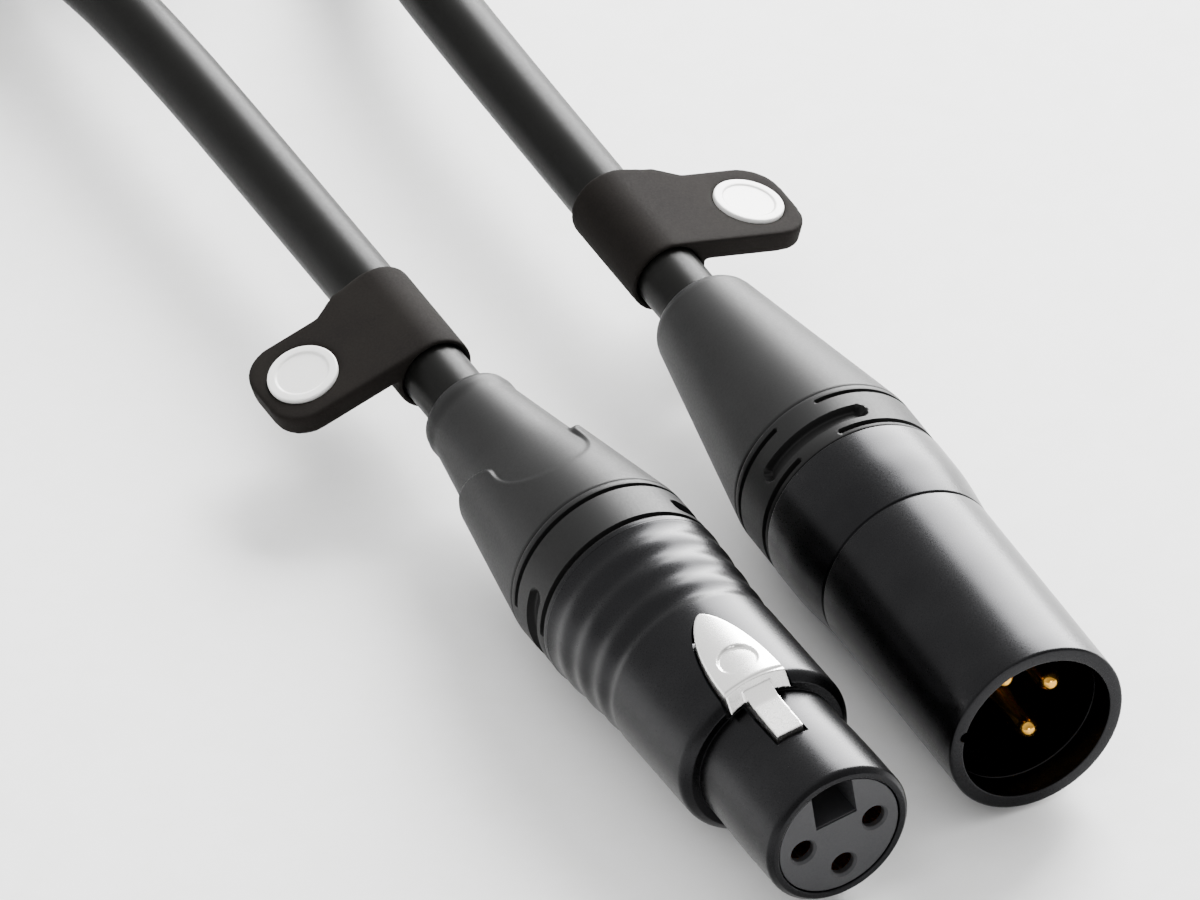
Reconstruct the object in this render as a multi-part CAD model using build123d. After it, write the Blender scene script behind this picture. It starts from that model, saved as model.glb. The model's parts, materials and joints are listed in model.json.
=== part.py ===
"""A three-pole microphone cable: a female and a male cable connector, a name tag behind each,
and the cable between them, wound into an oval coil that two hook-and-loop ties hold.

All sizes are in millimetres.  Z is up and the floor is z = 0.  Each connector is drawn in a
frame of its own: its axis is the Y axis, its mating face is at y = 0 and y grows towards the
cable, so a "station" is a distance back from the mating face.  Angles about that axis are
counted from +X towards +Z.
"""

import math
import os

from build123d import *

# ---- the cable and the places of the two connectors --------------------------------------
CABLE_R = 3.4
WIRE_R = 0.75
AXIS_Z = 10.05                      # height of both connector axes over the floor
FEMALE_YAW, FEMALE_ROLL = 1.35, 8.0
MALE_YAW, MALE_ROLL = -0.9, 110.0

# The cable's route from each boot to the coil, from the boot's end on.
FEMALE_ROUTE = [(-13.9, 35.5, 10.05), (-13.9, 70.0, 10.05), (-14.3, 105.0, 10.0),
                (-15.2, 123.0, 7.6), (-16.9, 138.5, 4.5), (-19.9, 156.0, 4.3),
                (-21.5, 171.5, 4.3)]
MALE_ROUTE = [(13.4, 37.8, 10.05), (13.4, 64.0, 10.05), (13.7, 91.0, 10.0),
              (15.3, 107.0, 8.3), (18.6, 121.0, 5.3), (22.6, 134.5, 4.3),
              (25.8, 149.0, 4.3), (27.0, 163.0, 4.3)]
ARC_SHARE = 0.45                    # how much of the shorter run each bend may take

# ---- the coil and its ties ---------------------------------------------------------------
COIL_COLUMNS, COIL_LAYERS = 2, 4
COIL_INNER_R = 20.4                 # centre line of the innermost turn's end arcs
COIL_STRAIGHT = 100.4
COIL_FRONT_Y = 166.0                # centre of the front end arcs
TIE_WIDTH, TIE_THICK = 12.0, 0.8

# ---- what both connectors share ----------------------------------------------------------
CONTACT_CIRCLE_R = 4.0
CONTACT_ANGLES = (0.0, 180.0, 270.0)   # the key is at 90
CONTACT_R = 1.75
CUP_DEPTH = 2.8
PART_GAP = 0.1                      # between pieces that are assembled and don't move
SLIDE_GAP = 0.3                     # between pieces that slide past each other
SWIVEL_GAP = 0.1                    # running clearance of a sleeve on the cable
SPIGOT_R, SPIGOT_LENGTH = 8.2, 4.5
REAR_BORE_R = 6.9
CHUCK_AHEAD, CHUCK_BEHIND = 9.4, 5.9
CHUCK_JAWS, CHUCK_SLIT = 4, 1.0
JACKET_AHEAD = 7.5                  # the jacket starts this far ahead of the boot
NUT_R, NUT_LENGTH, NUT_END = 9.0, 7.35, 1.3
NUT_HOLE_R = 5.4

# ---- the boot, counted from its front edge -----------------------------------------------
BOOT_GAP = 0.15                     # between the shell's rear face and the boot
BOOT_R, BOOT_END_R = 10.0, 5.3
BOOT_LENGTH, BAND_LENGTH = 33.3, 7.0
BAND_STEP = 0.2                     # the cone starts this far under the band
BOOT_TIP_ROUND = 0.9
BOOT_CAVITY_END = 18.0
SLOT_SPAN, SLOT_WIDTH, SLOT_DEPTH, SLOT_MID = 74.0, 1.9, 0.6, 2.9
GROOVE_SPAN, GROOVE_WIDTH, GROOVE_MIDS = 153.0, 0.5, (0.9, 6.0)
SCOOP_FRONT, SCOOP_HALF, SCOOP_DEPTH = 12.5, 4.9, 0.45
LOBE_END = 25.5
FEMALE_SLOT_ANGLE, MALE_SLOT_ANGLE = 189.0, 3.5

# ---- female connector --------------------------------------------------------------------
NOSE_R, NOSE_RELIEF_R, NOSE_LAND, NOSE_LENGTH = 7.85, 7.65, 6.8, 14.0
FEMALE_SHELL_R, FEMALE_TAIL_R, FEMALE_SHELL_LENGTH = 9.4, 10.05, 40.0
RIB_FROM, RIB_COUNT, RIB_PITCH, RIB_GROOVE = 28.9, 4, 3.3, 0.25
FRONT_BORE_R = 6.73
FRONT_BORE_END = 27.9
FEMALE_INSERT_LENGTH, INSERT_NECK, INSERT_NECK_R = 27.6, 3.2, 6.0
SOCKET_R, SOCKET_RECESS = 1.25, 1.0
SOCKET_DEPTH = 16.0
FEMALE_CONTACT_END = 28.2
KEY_WIDTH, KEY_FROM, KEY_DEPTH = 4.5, 2.1, 17.0
LATCH_FRONT, LATCH_REAR, LATCH_HALF, LATCH_TIP_HALF = 14.6, 25.2, 3.35, 1.3
LATCH_TOP_R, LATCH_UNDER = 10.25, 8.3
LATCH_GAP = 0.35
TONGUE_FRONT, TONGUE_WIDTH, TONGUE_TOP, TONGUE_UNDER = 7.7, 2.9, 8.4, 7.15
LATCH_SKIRT_FRONT, LATCH_SKIRT_LOW, LATCH_ARCH_R = 13.4, 7.5, 8.35
NECK_FRONT, NECK_REAR, NECK_TOP = 12.3, 14.0, 9.3
PIVOT_STATION, PIVOT_Z, PIVOT_R, PIVOT_HALF, BOSS_R = 23.4, 8.1, 0.45, 2.9, 1.0
SPRING_THICK, SPRING_WIDTH = 0.25, 2.4

# ---- male connector ----------------------------------------------------------------------
MALE_SHELL_R, MALE_TAIL_R, MALE_SHELL_LENGTH = 9.5, 10.05, 37.3
MOUTH_R, MOUTH_LENGTH, MALE_BORE_R = 8.05, 3.2, 7.95
SEAM_STATION, FLARE_END = 26.7, 32.0
MALE_INSERT_FACE, MALE_INSERT_LENGTH = 14.5, 9.4
PIN_R, PIN_TIP, MALE_PIN_END = 1.2, 3.6, 25.5
KEY_POST_WIDTH, KEY_POST_FROM, KEY_POST_TO, KEY_POST_LENGTH = 4.2, 3.0, 6.4, 5.5
LOCK_FROM, LOCK_LENGTH, LOCK_WIDTH, LOCK_R = 3.4, 3.8, 3.6, 8.75
INDEX_NOTCH_R, INDEX_NOTCH_ANGLE = 0.6, 56.0

# ---- name tags ---------------------------------------------------------------------------
TAG_BEHIND_BOOT, TAG_LENGTH, TAG_R = 6.6, 13.3, 4.05
TAB_REACH, TAB_WIDTH, TAB_THICK, TAB_CORNER = 16.0, 11.3, 2.3, 3.7
DISC_R, DISC_THICK, DISC_SUNK, DISC_PLACE = 3.6, 0.7, 0.45, 11.2
DISC_RIM, DISC_DISH = 0.8, 0.15
FEMALE_TAG_TILT, MALE_TAG_TILT = 17.0, -15.0


def turned(*outline):
    """A solid turned about the connector's axis from (radius, station) points."""
    return revolve(make_face(Polyline(*outline, close=True)), Axis.Y, 360)


def rod(radius, start, end, at=(0.0, 0.0)):
    """A round bar along the connector's axis, or beside it at (x, z)."""
    return Pos(at[0], 0, at[1]) * turned((0, start), (radius, start), (radius, end), (0, end))


def block(x, y, z):
    """A box from three (low, high) pairs."""
    size = [high - low for low, high in (x, y, z)]
    middle = [(low + high) / 2 for low, high in (x, y, z)]
    return Pos(*middle) * Box(*size)


def around(angle, piece):
    """The piece, drawn at +X, moved to an angle about the connector's axis."""
    return Rot(0, -angle, 0) * piece


def ring_sector(inner, outer, start, end, centre, span):
    """Part of a ring about the connector's axis, span degrees wide about an angle."""
    outline = make_face(Polyline((inner, start), (outer, start), (outer, end), (inner, end), close=True))
    return around(centre + span / 2, revolve(outline, Axis.Y, span))


def on_circle(angle):
    """The place of a contact, as (x, z)."""
    turn = math.radians(angle)
    return CONTACT_CIRCLE_R * math.cos(turn), CONTACT_CIRCLE_R * math.sin(turn)


# ---- female connector --------------------------------------------------------------------


def latch_outline(grow):
    """The thumb pad's leaf shape from above: blunt in front, drawn to a round tip behind."""
    half, tip = LATCH_HALF + grow, LATCH_TIP_HALF + grow
    front, rear = LATCH_FRONT - grow, LATCH_REAR + grow
    shoulder = rear - 1.2
    belly = (0.84 * half, front + 0.55 * (shoulder - front))
    edge = [
        Line((-half, front), (half, front)),
        ThreePointArc((half, front), belly, (tip, shoulder)),
        ThreePointArc((tip, shoulder), (0, rear), (-tip, shoulder)),
        ThreePointArc((-tip, shoulder), (-belly[0], belly[1]), (-half, front)),
    ]
    return make_face(edge)


def female_shell():
    body = turned(
        (FRONT_BORE_R, 0), (NOSE_R - 0.5, 0), (NOSE_R, 0.5), (NOSE_R, NOSE_LAND),
        (NOSE_RELIEF_R, NOSE_LAND + 0.2), (NOSE_RELIEF_R, NOSE_LENGTH),
        (FEMALE_SHELL_R - 0.8, NOSE_LENGTH), (FEMALE_SHELL_R, NOSE_LENGTH + 0.8),
        (FEMALE_SHELL_R, RIB_FROM), (FEMALE_TAIL_R, FEMALE_SHELL_LENGTH - 0.5),
        (FEMALE_TAIL_R, FEMALE_SHELL_LENGTH), (SPIGOT_R, FEMALE_SHELL_LENGTH),
        (SPIGOT_R, FEMALE_SHELL_LENGTH + SPIGOT_LENGTH),
        (REAR_BORE_R, FEMALE_SHELL_LENGTH + SPIGOT_LENGTH),
        (REAR_BORE_R, FRONT_BORE_END), (FRONT_BORE_R, FRONT_BORE_END),
    )
    for rib in range(RIB_COUNT):
        station = RIB_FROM + rib * RIB_PITCH
        radius = FEMALE_SHELL_R + (FEMALE_TAIL_R - FEMALE_SHELL_R) * rib / RIB_COUNT
        body -= turned((radius - RIB_GROOVE, station), (radius + 1, station - 1.5),
                       (radius + 1, station + 1.5))
    window = extrude(latch_outline(LATCH_GAP), 20)
    tongue = TONGUE_WIDTH / 2 + LATCH_GAP
    slot = block((-tongue, tongue), (TONGUE_FRONT - LATCH_GAP, LATCH_FRONT + 1), (0, 20))
    bearing = Pos(0, PIVOT_STATION, PIVOT_Z) * Rot(0, 90, 0) * Cylinder(PIVOT_R, 2 * PIVOT_HALF)
    wide = LATCH_HALF + LATCH_GAP
    mouth = block((-wide, wide), (NOSE_LENGTH, LATCH_FRONT), (0, 20)) - rod(NOSE_RELIEF_R, 0, 40)
    return body - window - slot - mouth - bearing


def female_insert():
    length = FEMALE_INSERT_LENGTH
    neck = length - INSERT_NECK
    body = turned((0, 0.15), (FRONT_BORE_R - PART_GAP, 0.15), (FRONT_BORE_R - PART_GAP, neck),
                  (INSERT_NECK_R, neck), (INSERT_NECK_R, length), (0, length))
    body -= block((-KEY_WIDTH / 2, KEY_WIDTH / 2), (0, KEY_DEPTH), (KEY_FROM, FRONT_BORE_R))
    for angle in CONTACT_ANGLES:
        body -= rod(SOCKET_R, 0, SOCKET_RECESS, on_circle(angle))
        body -= rod(CONTACT_R + 0.05, SOCKET_RECESS, length, on_circle(angle))
    return body


def female_contact(angle):
    end = FEMALE_CONTACT_END
    body = rod(CONTACT_R, SOCKET_RECESS, end)
    body -= rod(SOCKET_R, SOCKET_RECESS, SOCKET_DEPTH)
    body -= rod(WIRE_R, end - CUP_DEPTH, end)
    for side in (0, 90):
        body -= around(side, block((-2, 2), (SOCKET_RECESS, SOCKET_DEPTH - 4), (-0.2, 0.2)))
    x, z = on_circle(angle)
    return Pos(x, 0, z) * body


def female_ground_ring():
    neck = FEMALE_INSERT_LENGTH - INSERT_NECK
    outer = FRONT_BORE_R - PART_GAP
    inner = INSERT_NECK_R + PART_GAP / 2
    ring = turned((inner, neck + 0.2), (outer, neck + 0.2), (outer, neck + 2.6), (inner, neck + 2.6))
    return ring - around(270, block((0, 10), (0, 60), (-0.6, 0.6)))


def latch_lever():
    pad = extrude(latch_outline(0), 12) - block((-6, 6), (0, 40), (0, LATCH_UNDER))
    rear, top = LATCH_FRONT + 0.5, LATCH_TOP_R + 1
    brow = Plane.YZ * make_face(Polyline(
        (LATCH_FRONT, top), (rear, top), (rear, LATCH_SKIRT_LOW),
        (LATCH_SKIRT_FRONT, LATCH_SKIRT_LOW), (LATCH_FRONT, LATCH_TOP_R), close=True))
    skirt = extrude(brow, LATCH_HALF, both=True) - rod(LATCH_ARCH_R, 0, 40)
    rear = LATCH_FRONT + 1.5
    tongue = extrude(Plane.YZ * make_face(Polyline(
        (TONGUE_FRONT, TONGUE_UNDER), (TONGUE_FRONT, TONGUE_TOP), (NECK_FRONT, TONGUE_TOP),
        (NECK_REAR, NECK_TOP), (rear, NECK_TOP), (rear, TONGUE_UNDER), close=True)),
        TONGUE_WIDTH / 2, both=True)
    bar = Pos(0, PIVOT_STATION, PIVOT_Z) * Rot(0, 90, 0) * Cylinder(BOSS_R, 2 * 1.1)
    rib = block((-1.1, 1.1), (PIVOT_STATION - BOSS_R, PIVOT_STATION + BOSS_R), (PIVOT_Z, 8.6))
    dimple = Pos(0, LATCH_FRONT + 3.4, LATCH_TOP_R) * Cylinder(1.9, 0.3)
    hole = Pos(0, PIVOT_STATION, PIVOT_Z) * Rot(0, 90, 0) * Cylinder(PIVOT_R + 0.05, 20)
    lever = (pad + skirt) & rod(LATCH_TOP_R, 0, 40)
    return lever + tongue + bar + rib - dimple - hole


def latch_pin():
    return Pos(0, PIVOT_STATION, PIVOT_Z) * Rot(0, 90, 0) * Cylinder(PIVOT_R, 2 * PIVOT_HALF)


def latch_spring():
    """A leaf spring, arched lengthways, that stands on the insert under the pad."""
    low, high, half = FRONT_BORE_R - PART_GAP, FRONT_BORE_R + 0.55, SPRING_WIDTH / 2
    outer = ThreePointArc((17.2, low), (19.4, high), (21.6, low))
    inner = ThreePointArc((17.5, low), (19.4, high - SPRING_THICK), (21.3, low))
    ends = [Line((17.2, low), (17.5, low)), Line((21.3, low), (21.6, low))]
    leaf = Plane.YZ * make_face([outer, inner, *ends])
    return extrude(leaf, half, both=True)


# ---- male connector ----------------------------------------------------------------------


def male_shell():
    rear = MALE_SHELL_LENGTH
    insert_end = MALE_INSERT_FACE + MALE_INSERT_LENGTH
    body = turned(
        (MOUTH_R, 0), (MALE_SHELL_R - 0.4, 0), (MALE_SHELL_R, 0.4), (MALE_SHELL_R, SEAM_STATION - 0.2),
        (MALE_SHELL_R - 0.15, SEAM_STATION), (MALE_SHELL_R, SEAM_STATION + 0.2),
        (MALE_TAIL_R, FLARE_END), (MALE_TAIL_R, rear), (SPIGOT_R, rear),
        (SPIGOT_R, rear + SPIGOT_LENGTH), (REAR_BORE_R, rear + SPIGOT_LENGTH),
        (REAR_BORE_R, insert_end), (MALE_BORE_R, insert_end), (MALE_BORE_R, MOUTH_LENGTH),
        (MOUTH_R, MOUTH_LENGTH - 0.1),
    )
    half = LOCK_WIDTH / 2
    body -= around(90, block((0, LOCK_R), (LOCK_FROM, LOCK_FROM + LOCK_LENGTH), (-half, half)))
    notch = rod(INDEX_NOTCH_R, 0, 0.9, (MOUTH_R, 0))
    return body - around(INDEX_NOTCH_ANGLE, notch)


def male_insert():
    face, end = MALE_INSERT_FACE, MALE_INSERT_FACE + MALE_INSERT_LENGTH
    body = rod(MALE_BORE_R - PART_GAP, face, end)
    half = KEY_POST_WIDTH / 2
    body += block((-half, half), (face - KEY_POST_LENGTH, face + 1), (KEY_POST_FROM, KEY_POST_TO))
    for angle in CONTACT_ANGLES:
        body -= rod(CONTACT_R + 0.05, face - 1, end, on_circle(angle))
    return body - around(225, block((7.1, 9), (face + 1.5, end), (-1.6, 1.6)))


def male_pin(angle):
    end = MALE_PIN_END
    body = turned((0, PIN_TIP), (0.5 * PIN_R, PIN_TIP + 0.15), (PIN_R, PIN_TIP + 0.9),
                  (PIN_R, MALE_INSERT_FACE), (CONTACT_R, MALE_INSERT_FACE),
                  (CONTACT_R, end), (0, end))
    body -= rod(WIRE_R, end - CUP_DEPTH, end)
    x, z = on_circle(angle)
    return Pos(x, 0, z) * body


def male_ground_spring():
    """A bent strip in the insert's edge that touches the shell."""
    face = MALE_INSERT_FACE
    foot = block((7.15, 7.4), (face + 1.8, face + 8.4), (-1.3, 1.3))
    bow = block((7.15, 7.8), (face + 4.4, face + 5.8), (-1.3, 1.3))
    return around(225, foot + bow)


# ---- what is behind the shell, the same in both connectors -------------------------------


def chuck(joint):
    """The plastic collet that grips the jacket: a slit cone-ended sleeve."""
    start, end = joint - CHUCK_AHEAD, joint + CHUCK_BEHIND
    outer, inner = REAR_BORE_R - PART_GAP, CABLE_R + PART_GAP / 2
    body = turned((inner, start), (outer, start), (outer, end - 2), (outer - 1.2, end), (inner, end))
    for jaw in range(CHUCK_JAWS):
        slit = block((0, 20), (start + 3, end + 1), (-CHUCK_SLIT / 2, CHUCK_SLIT / 2))
        body -= around(45 + 360 / CHUCK_JAWS * jaw, slit)
    return body


def boot_nut(joint):
    """The threaded bush moulded into the boot; it screws onto the shell's spigot."""
    start, end = joint + BOOT_GAP, joint + BOOT_GAP + NUT_LENGTH
    inner = SPIGOT_R + SLIDE_GAP
    return turned((inner, start), (NUT_R, start), (NUT_R, end), (NUT_HOLE_R, end),
                  (NUT_HOLE_R, end - NUT_END), (inner, end - NUT_END))


def boot_base(joint):
    """The boot's plain cone with its band, its bore and the room for the nut."""
    start, end = joint + BOOT_GAP, joint + BOOT_LENGTH
    cone, nut_end = joint + BAND_LENGTH, joint + BOOT_GAP + NUT_LENGTH
    bore = CABLE_R + SLIDE_GAP
    return turned(
        (NUT_R, start), (BOOT_R, start), (BOOT_R, cone), (BOOT_R - BAND_STEP, cone + 0.2),
        (BOOT_END_R, end - BOOT_TIP_ROUND), (BOOT_END_R - BOOT_TIP_ROUND, end), (bore, end),
        (bore, joint + BOOT_CAVITY_END), (NUT_HOLE_R, nut_end), (NUT_R, nut_end),
    )


def boot_slots(joint, angle):
    """Two wide slots and four thin ones in the band, opposite each other in pairs."""
    floor = BOOT_R - SLOT_DEPTH
    cuts = []
    for side in (0, 180):
        middle = joint + SLOT_MID
        cuts.append(ring_sector(floor, BOOT_R + 1, middle - SLOT_WIDTH / 2, middle + SLOT_WIDTH / 2,
                                angle + side, SLOT_SPAN))
        for place in GROOVE_MIDS:
            middle = joint + place
            cuts.append(ring_sector(floor, BOOT_R + 1, middle - GROOVE_WIDTH / 2,
                                    middle + GROOVE_WIDTH / 2, angle + 90 + side, GROOVE_SPAN))
    return cuts


def male_boot():
    return boot_base(MALE_SHELL_LENGTH) - boot_slots(MALE_SHELL_LENGTH, MALE_SLOT_ANGLE)


def female_boot():
    """The same boot with a thumb scoop above and below, between two side lobes."""
    joint = FEMALE_SHELL_LENGTH
    body = boot_base(joint) - boot_slots(joint, FEMALE_SLOT_ANGLE)
    front, wide, end = joint + SCOOP_FRONT, joint + SCOOP_FRONT + 7, joint + LOBE_END
    scoop = make_face([
        ThreePointArc((-SCOOP_HALF, wide), (0, front), (SCOOP_HALF, wide)),
        Polyline((SCOOP_HALF, wide), (BOOT_R, end), (BOOT_R, end + 20), (-BOOT_R, end + 20),
                 (-BOOT_R, end), (-SCOOP_HALF, wide)),
    ])
    slope = (BOOT_R - BAND_STEP - BOOT_END_R) / (BOOT_LENGTH - BOOT_TIP_ROUND - BAND_LENGTH)
    cone = joint + BAND_LENGTH
    kept = turned((0, cone - 5), (BOOT_R - SCOOP_DEPTH + 5 * slope, cone - 5),
                  (BOOT_END_R - SCOOP_DEPTH, joint + BOOT_LENGTH), (0, joint + BOOT_LENGTH))
    return body - (extrude(scoop, 12, both=True) - kept)


def cable_end(joint):
    """The jacketed cable inside the connector, from the stripped end to the boot's end."""
    return rod(CABLE_R, joint - JACKET_AHEAD, joint + BOOT_LENGTH)


def wire(angle, contact_end, joint):
    """One core, from the bottom of its solder cup to the end of the jacket."""
    x, z = on_circle(angle)
    near = 1.6 / CONTACT_CIRCLE_R
    jacket = joint - JACKET_AHEAD
    path = FilletPolyline((x, contact_end - CUP_DEPTH, z), (x, contact_end + 0.4, z),
                          (near * x, jacket - 1.4, near * z), (near * x, jacket, near * z), radius=0.8)
    return sweep(Plane(origin=path @ 0, z_dir=path % 0) * Circle(WIRE_R), path=path)


# ---- name tags, drawn along Y from the boot's end, tab towards -X or +X -------------------


def name_tag(side):
    start, end = TAG_BEHIND_BOOT, TAG_BEHIND_BOOT + TAG_LENGTH
    outline = Pos(side * TAB_REACH / 2, start + TAB_WIDTH / 2) * RectangleRounded(
        TAB_REACH + 2 * TAB_CORNER, TAB_WIDTH, TAB_CORNER)
    tab = extrude(Pos(-side * TAB_CORNER, 0) * outline, TAB_THICK)
    tab = Pos(0, 0, TAG_R - TAB_THICK) * tab
    tab -= block(sorted((0, -side * 20)), (start - 1, end + 1), (0, 9))
    web = Pos(0, 0, TAG_R - TAB_THICK) * extrude(make_face(Polyline(
        (0, end), (side * TAG_R, end - 0.5), (side * (TAG_R + 2.5), start + TAB_WIDTH), (0, start + TAB_WIDTH),
        close=True)), TAB_THICK)
    body = rod(TAG_R, start, end) + tab + web
    body -= disc_seat(side, DISC_R + 0.05)
    return body - rod(CABLE_R + SWIVEL_GAP, start - 1, end + 1)


def disc_seat(side, radius):
    """A round sunk in the tab's upper face."""
    place = Pos(side * DISC_PLACE, TAG_BEHIND_BOOT + TAB_WIDTH / 2, TAG_R - DISC_SUNK)
    return place * extrude(Circle(radius), DISC_THICK)


def tag_disc(side):
    """A plain round badge with a raised rim."""
    dish = Pos(0, 0, DISC_THICK - DISC_DISH) * disc_seat(side, DISC_R - DISC_RIM)
    return disc_seat(side, DISC_R) - dish


# ---- the cable outside the connectors -----------------------------------------------------


def lead(name, route):
    """A tube along straight runs that tangent arcs join, and its bend radii."""
    points = [Vector(*point) for point in route]
    radii = []
    for before, corner, after in zip(points, points[1:], points[2:]):
        turn = math.radians((corner - before).get_angle(after - corner))
        shorter = min((corner - before).length, (after - corner).length)
        radii.append(ARC_SHARE * shorter / math.tan(turn / 2))
    path = FilletPolyline(*points, radius=radii)
    tube = sweep(Plane(origin=path @ 0, z_dir=path % 0) * Circle(CABLE_R), path=path)
    section = math.pi * CABLE_R**2
    print(name, "bend radii", [round(radius) for radius in radii],
          "length", round(path.length, 1), "volume / section", round(tube.volume / section, 1))
    return tube


def coil():
    """The outer shape of the wound turns: an upright oval ring."""
    across = 2 * (COIL_INNER_R + (COIL_COLUMNS * 2 - 1) * CABLE_R)
    hole = 2 * (COIL_INNER_R - CABLE_R)
    outline = SlotCenterToCenter(COIL_STRAIGHT, across) - SlotCenterToCenter(COIL_STRAIGHT, hole)
    place = Pos(0, COIL_FRONT_Y + COIL_STRAIGHT / 2, TIE_THICK) * Rot(0, 0, 90)
    return extrude(place * outline, COIL_LAYERS * 2 * CABLE_R)


def coil_tie(side):
    """A strap closed round one straight side of the coil."""
    inner = COIL_INNER_R - CABLE_R
    outer = inner + COIL_COLUMNS * 2 * CABLE_R
    top = TIE_THICK + COIL_LAYERS * 2 * CABLE_R
    middle = COIL_FRONT_Y + COIL_STRAIGHT / 2
    y = (middle - TIE_WIDTH / 2, middle + TIE_WIDTH / 2)
    strap = block((inner - TIE_THICK, outer + TIE_THICK), y, (0, top + TIE_THICK))
    strap -= block((inner, outer), y, (TIE_THICK, top))
    return strap if side > 0 else mirror(strap, Plane.YZ)


# ---- everything in its place --------------------------------------------------------------


def main():
    os.makedirs("parts", exist_ok=True)

    def connector(pieces, route, length, yaw, roll):
        """Puts pieces drawn in a connector's frame where its cable leaves it."""
        place = Pos(*route[0]) * Rot(0, 0, yaw) * Rot(0, roll, 0) * Pos(0, -length, 0)
        return {name: place * piece for name, piece in pieces.items()}

    female = {"female_shell": female_shell(), "female_insert": female_insert(),
              "female_ground_ring": female_ground_ring(), "latch_lever": latch_lever(),
              "latch_pin": latch_pin(), "latch_spring": latch_spring(), "female_boot": female_boot()}
    male = {"male_shell": male_shell(), "male_insert": male_insert(),
            "male_ground_spring": male_ground_spring(), "male_boot": male_boot()}
    for number, angle in enumerate(CONTACT_ANGLES, 1):
        female[f"female_contact_{number}"] = female_contact(angle)
    for number, angle in enumerate(CONTACT_ANGLES, 1):
        male[f"male_pin_{number}"] = male_pin(angle)
    ends = [("female", female, FEMALE_CONTACT_END, FEMALE_SHELL_LENGTH),
            ("male", male, MALE_PIN_END, MALE_SHELL_LENGTH)]
    for name, pieces, contact_end, joint in ends:
        pieces[f"{name}_chuck"] = chuck(joint)
        pieces[f"{name}_boot_nut"] = boot_nut(joint)
        pieces[f"{name}_cable_end"] = cable_end(joint)
        for core, angle in zip(("hot", "cold", "shield"), CONTACT_ANGLES):
            pieces[f"{name}_wire_{core}"] = wire(angle, contact_end, joint)

    nodes = connector(female, FEMALE_ROUTE, FEMALE_SHELL_LENGTH + BOOT_LENGTH, FEMALE_YAW, -FEMALE_ROLL)
    nodes |= connector(male, MALE_ROUTE, MALE_SHELL_LENGTH + BOOT_LENGTH, MALE_YAW, -MALE_ROLL)

    tags = [("female", FEMALE_ROUTE, -1, FEMALE_TAG_TILT), ("male", MALE_ROUTE, 1, MALE_TAG_TILT)]
    for name, route, side, tilt in tags:
        place = Pos(*route[0]) * Rot(0, -tilt, 0)
        nodes[f"{name}_name_tag"] = place * name_tag(side)
        nodes[f"{name}_tag_disc"] = place * tag_disc(side)

    nodes["coil"] = coil()
    nodes["coil_tie_left"] = coil_tie(-1)
    nodes["coil_tie_right"] = coil_tie(1)
    for name, route in (("female", FEMALE_ROUTE), ("male", MALE_ROUTE)):
        nodes[f"{name}_lead"] = lead(name, route) - nodes["coil"] - nodes[f"{name}_cable_end"]

    for name, piece in nodes.items():
        export_step(piece, f"parts/{name}.step")


main()
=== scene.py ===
"""The looks of a microphone cable: a female and a male cable connector side by side, a name tag
behind each, and the spare length of the cable wound into a tied oval coil behind them.

Each connector is drawn in millimetres in a frame of its own: its axis is Y, a "station" is a
distance back from its mating face, and the key is on the Z side.  The matrices FEMALE, MALE,
FEMALE_TAG and MALE_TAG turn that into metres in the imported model's frame.  Radii and stations
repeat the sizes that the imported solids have.
"""

import json
import math

import bmesh
import bpy
import numpy as np
from mathutils import Matrix, Vector


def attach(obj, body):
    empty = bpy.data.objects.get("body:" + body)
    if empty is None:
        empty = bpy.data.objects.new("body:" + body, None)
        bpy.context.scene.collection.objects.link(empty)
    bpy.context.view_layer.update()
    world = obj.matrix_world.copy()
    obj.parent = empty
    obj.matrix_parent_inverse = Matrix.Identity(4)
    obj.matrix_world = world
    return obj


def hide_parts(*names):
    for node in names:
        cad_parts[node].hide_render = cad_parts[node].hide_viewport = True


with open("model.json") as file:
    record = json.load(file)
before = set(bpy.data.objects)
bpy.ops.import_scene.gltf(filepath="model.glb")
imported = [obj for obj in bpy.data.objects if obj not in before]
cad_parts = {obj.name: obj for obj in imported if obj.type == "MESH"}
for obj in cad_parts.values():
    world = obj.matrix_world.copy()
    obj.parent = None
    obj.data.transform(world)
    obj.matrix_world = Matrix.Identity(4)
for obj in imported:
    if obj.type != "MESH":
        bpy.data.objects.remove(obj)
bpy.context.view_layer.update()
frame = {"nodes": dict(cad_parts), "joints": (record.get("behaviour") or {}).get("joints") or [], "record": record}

MM = 0.001
TAU = 2 * math.pi

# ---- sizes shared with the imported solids, in millimetres -------------------------------------
CABLE_R = 3.4
FEMALE_JOINT, MALE_JOINT = 40.0, 37.3        # stations where the boots meet the shells
SHELL_TAIL_R, SPIGOT_R, SPIGOT_LENGTH, REAR_BORE_R = 10.05, 8.2, 4.5, 6.9
NOSE_R, NOSE_RELIEF_R, NOSE_LENGTH = 7.85, 7.65, 14.0
FEMALE_SHELL_R, FRONT_BORE_R, FRONT_BORE_END = 9.4, 6.73, 27.9
RIB_FROM, RIB_PITCH, RIB_DEPTH = 28.9, 3.3, 0.19
MALE_SHELL_R, MOUTH_R, MALE_BORE_R, MALE_BORE_END = 9.5, 8.05, 7.95, 23.9
SEAM_STATION, SEAM_DEPTH, FLARE_END = 26.7, 0.18, 32.0
LOCK_HALF, LOCK_FROM, LOCK_TO, LOCK_R = 1.8, 3.4, 7.2, 8.75
INDEX_NOTCH_R, INDEX_NOTCH_DEPTH, INDEX_NOTCH_ANGLE = 0.6, 0.9, 56
BOOT_GAP, BOOT_R, BOOT_END_R, BOOT_LENGTH = 0.15, 10.0, 5.3, 33.3
BAND_LENGTH, NUT_R, NUT_END, NUT_HOLE_R = 7.0, 9.0, 7.5, 5.4
BOOT_CAVITY_END, BOOT_BORE_R = 18.0, 3.7
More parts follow.
